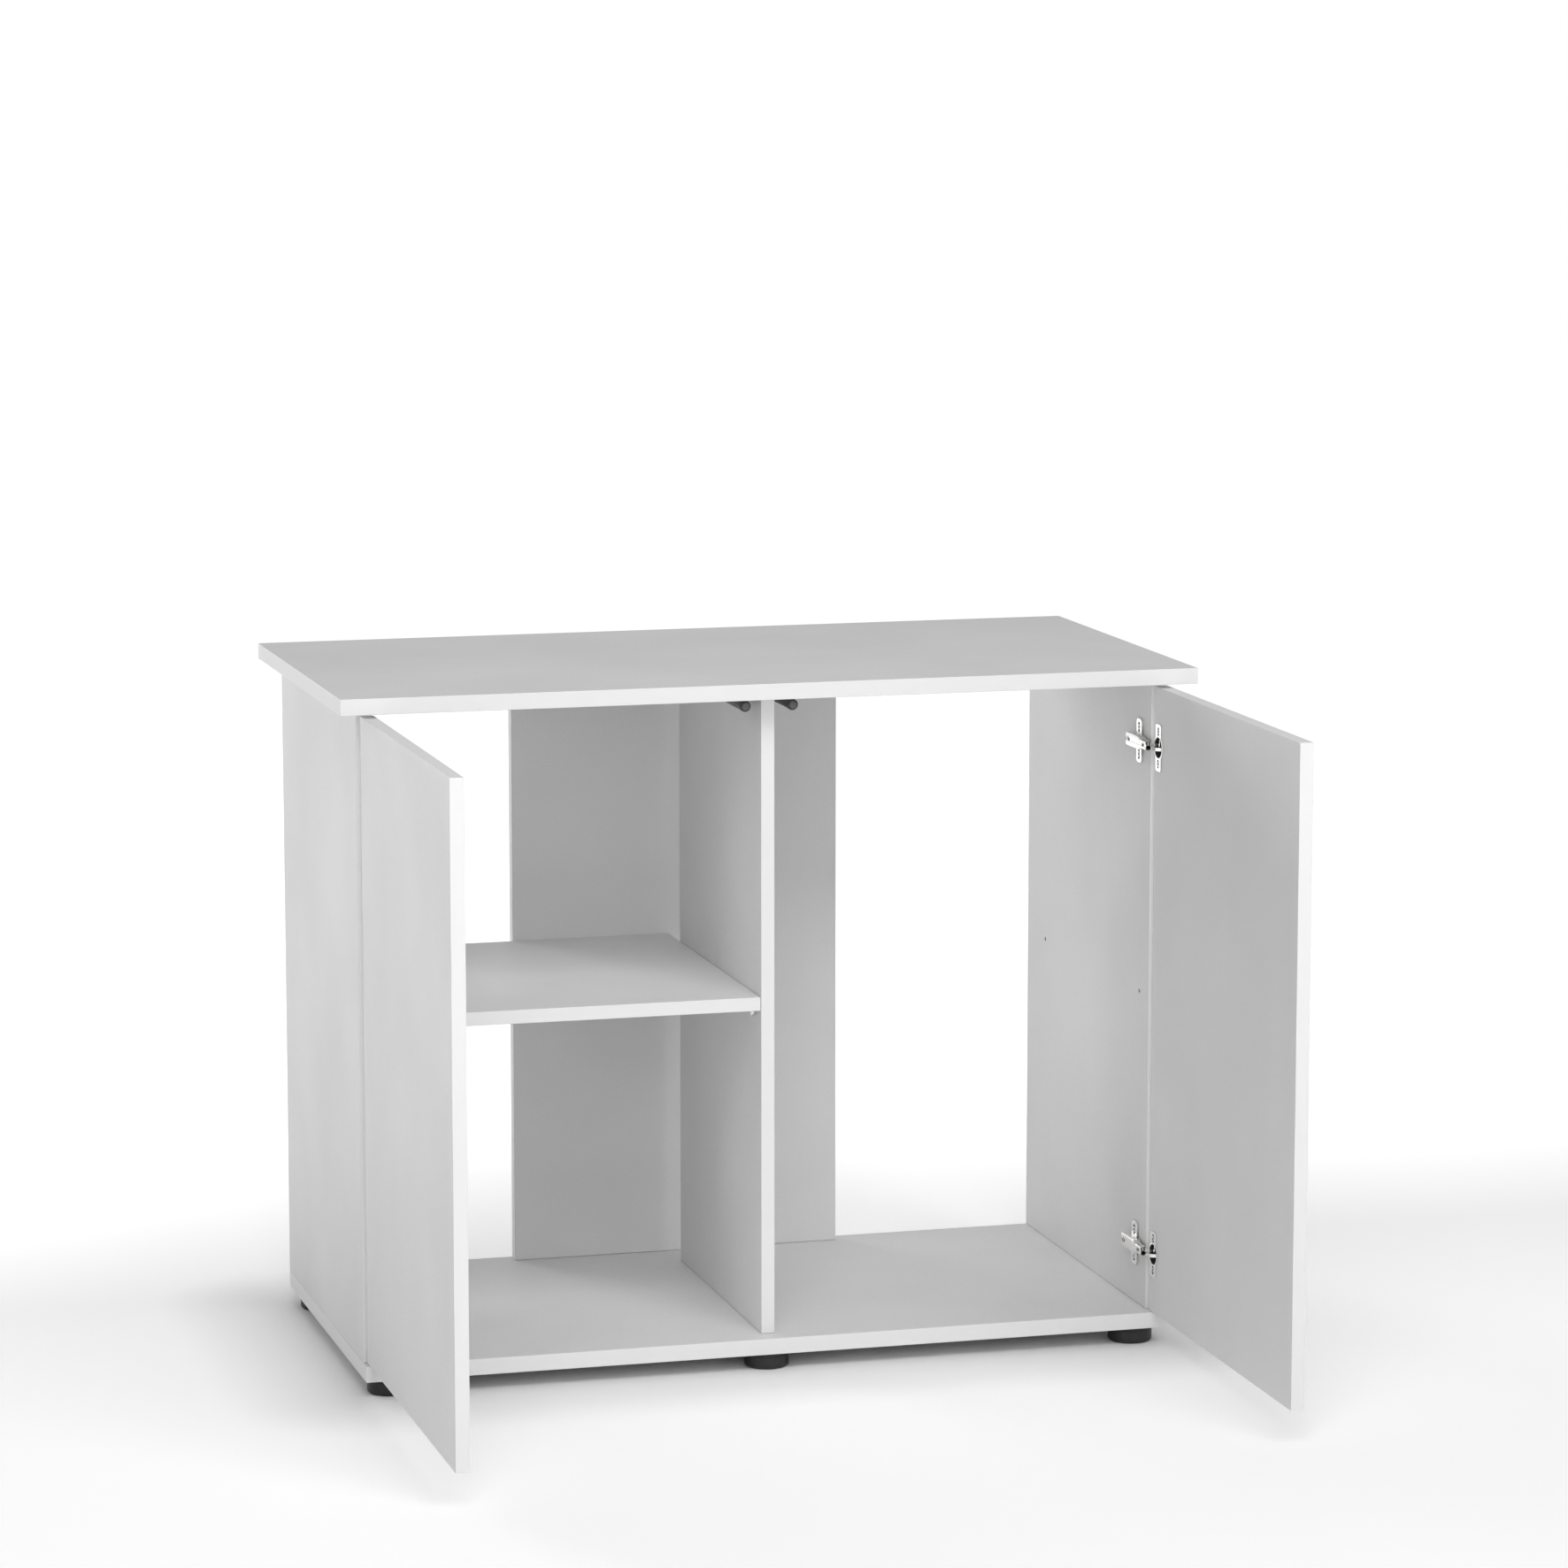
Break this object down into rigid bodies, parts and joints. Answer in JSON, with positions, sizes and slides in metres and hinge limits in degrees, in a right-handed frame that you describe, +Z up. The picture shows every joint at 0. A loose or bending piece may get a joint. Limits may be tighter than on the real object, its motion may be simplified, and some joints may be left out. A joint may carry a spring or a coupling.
{
  "type": "aquarium stand cabinet",
  "caption": "White board cabinet that carries an aquarium: overhanging top, centre divider, shelf, open rear bays, round black feet and handle-less doors on concealed hinges with push latches.",
  "frame": {"origin": "on the floor, at the centre of the box that the cabinet fills with both doors standing open; the cabinet body's own centre is 0.2245 m behind it (+Y)", "axes": "+X to the cabinet's right seen from the front, +Y from the doors to the back, +Z up"},
  "size_m": [1.01, 0.963, 0.808],
  "materials": {
    "board": "white melamine coating, fine texture, satin, with matching edge band",
    "nickel": "nickel-plated pressed steel",
    "screw": "bright zinc plated",
    "foot": "black moulded plastic, fine texture",
    "latch_body": "near-black moulded plastic",
    "latch_tip": "dark grey moulded plastic"
  },
  "bodies": {
    "cabinet": {"back_panel": "board", "bottom_panel": "board", "centre_divider": "board", "foot_back_left": "foot", "foot_back_middle": "foot", "foot_back_right": "foot", "foot_front_left": "foot", "foot_front_middle": "foot", "foot_front_right": "foot", "hinge_arm_left_lower": "nickel", "hinge_arm_left_upper": "nickel", "hinge_arm_right_lower": "nickel", "hinge_arm_right_upper": "nickel", "hinge_plate_left_lower": "nickel", "hinge_plate_left_upper": "nickel", "hinge_plate_right_lower": "nickel", "hinge_plate_right_upper": "nickel", "latch_housing_left": "latch_body", "latch_housing_right": "latch_body", "plate_screw_left_lower_bottom": "screw", "plate_screw_left_lower_top": "screw", "plate_screw_left_upper_bottom": "screw", "plate_screw_left_upper_top": "screw", "plate_screw_right_lower_bottom": "screw", "plate_screw_right_lower_top": "screw", "plate_screw_right_upper_bottom": "screw", "plate_screw_right_upper_top": "screw", "shelf": "board", "shelf_pin_inner_back": "nickel", "shelf_pin_inner_front": "nickel", "shelf_pin_outer_back": "nickel", "shelf_pin_outer_front": "nickel", "side_panel_left": "board", "side_panel_right": "board", "top_panel": "board"},
    "left_outer_links": {"hinge_outer_link_left_lower": "nickel", "hinge_outer_link_left_upper": "nickel"},
    "left_door": {"cup_screw_left_lower_bottom": "screw", "cup_screw_left_lower_top": "screw", "cup_screw_left_upper_bottom": "screw", "cup_screw_left_upper_top": "screw", "door_left": "board", "hinge_cup_left_lower": "nickel", "hinge_cup_left_upper": "nickel"},
    "left_inner_links": {"hinge_inner_link_left_lower": "nickel", "hinge_inner_link_left_upper": "nickel"},
    "left_latch_plunger": {"latch_plunger_left": "latch_tip"},
    "right_outer_links": {"hinge_outer_link_right_lower": "nickel", "hinge_outer_link_right_upper": "nickel"},
    "right_door": {"cup_screw_right_lower_bottom": "screw", "cup_screw_right_lower_top": "screw", "cup_screw_right_upper_bottom": "screw", "cup_screw_right_upper_top": "screw", "door_right": "board", "hinge_cup_right_lower": "nickel", "hinge_cup_right_upper": "nickel"},
    "right_inner_links": {"hinge_inner_link_right_lower": "nickel", "hinge_inner_link_right_upper": "nickel"},
    "right_latch_plunger": {"latch_plunger_right": "latch_tip"}
  },
  "joints": [
    {"name": "left_door_swing", "type": "hinge", "parent": "cabinet", "child": "left_outer_links", "pos_m": [-0.4555, -0.0025, 0], "axis": [0, 0, -1], "range_deg": [0, 53.2]},
    {"name": "left_door_on_links", "type": "hinge", "parent": "left_outer_links", "child": "left_door", "pos_m": [-0.46562, -0.01357, 0], "axis": [0, 0, 1], "range_deg": [0, 143.2]},
    {"name": "left_inner_link_turn", "type": "hinge", "parent": "left_door", "child": "left_inner_links", "pos_m": [-0.466, -0.0225, 0], "axis": [0, 0, -1], "range_deg": [0, 78.96]},
    {"name": "left_latch_press", "type": "slide", "parent": "cabinet", "child": "left_latch_plunger", "axis": [0, 1, 0], "range_m": [0, 0.003], "stiffness_N_per_m": 300, "springref_m": -0.002},
    {"name": "right_door_swing", "type": "hinge", "parent": "cabinet", "child": "right_outer_links", "pos_m": [0.4555, -0.0025, 0], "axis": [0, 0, 1], "range_deg": [0, 53.2]},
    {"name": "right_door_on_links", "type": "hinge", "parent": "right_outer_links", "child": "right_door", "pos_m": [0.46562, -0.01357, 0], "axis": [0, 0, -1], "range_deg": [0, 143.2]},
    {"name": "right_inner_link_turn", "type": "hinge", "parent": "right_door", "child": "right_inner_links", "pos_m": [0.466, -0.0225, 0], "axis": [0, 0, 1], "range_deg": [0, 78.96]},
    {"name": "right_latch_press", "type": "slide", "parent": "cabinet", "child": "right_latch_plunger", "axis": [0, 1, 0], "range_m": [0, 0.003], "stiffness_N_per_m": 300, "springref_m": -0.002}
  ],
  "couplings": [
    {"joint": "left_door_on_links", "follows": "left_door_swing", "ratio": 2.6917},
    {"joint": "left_inner_link_turn", "follows": "left_door_swing", "ratio": 1.484},
    {"joint": "right_door_on_links", "follows": "right_door_swing", "ratio": 2.6917},
    {"joint": "right_inner_link_turn", "follows": "right_door_swing", "ratio": 1.484}
  ]
}
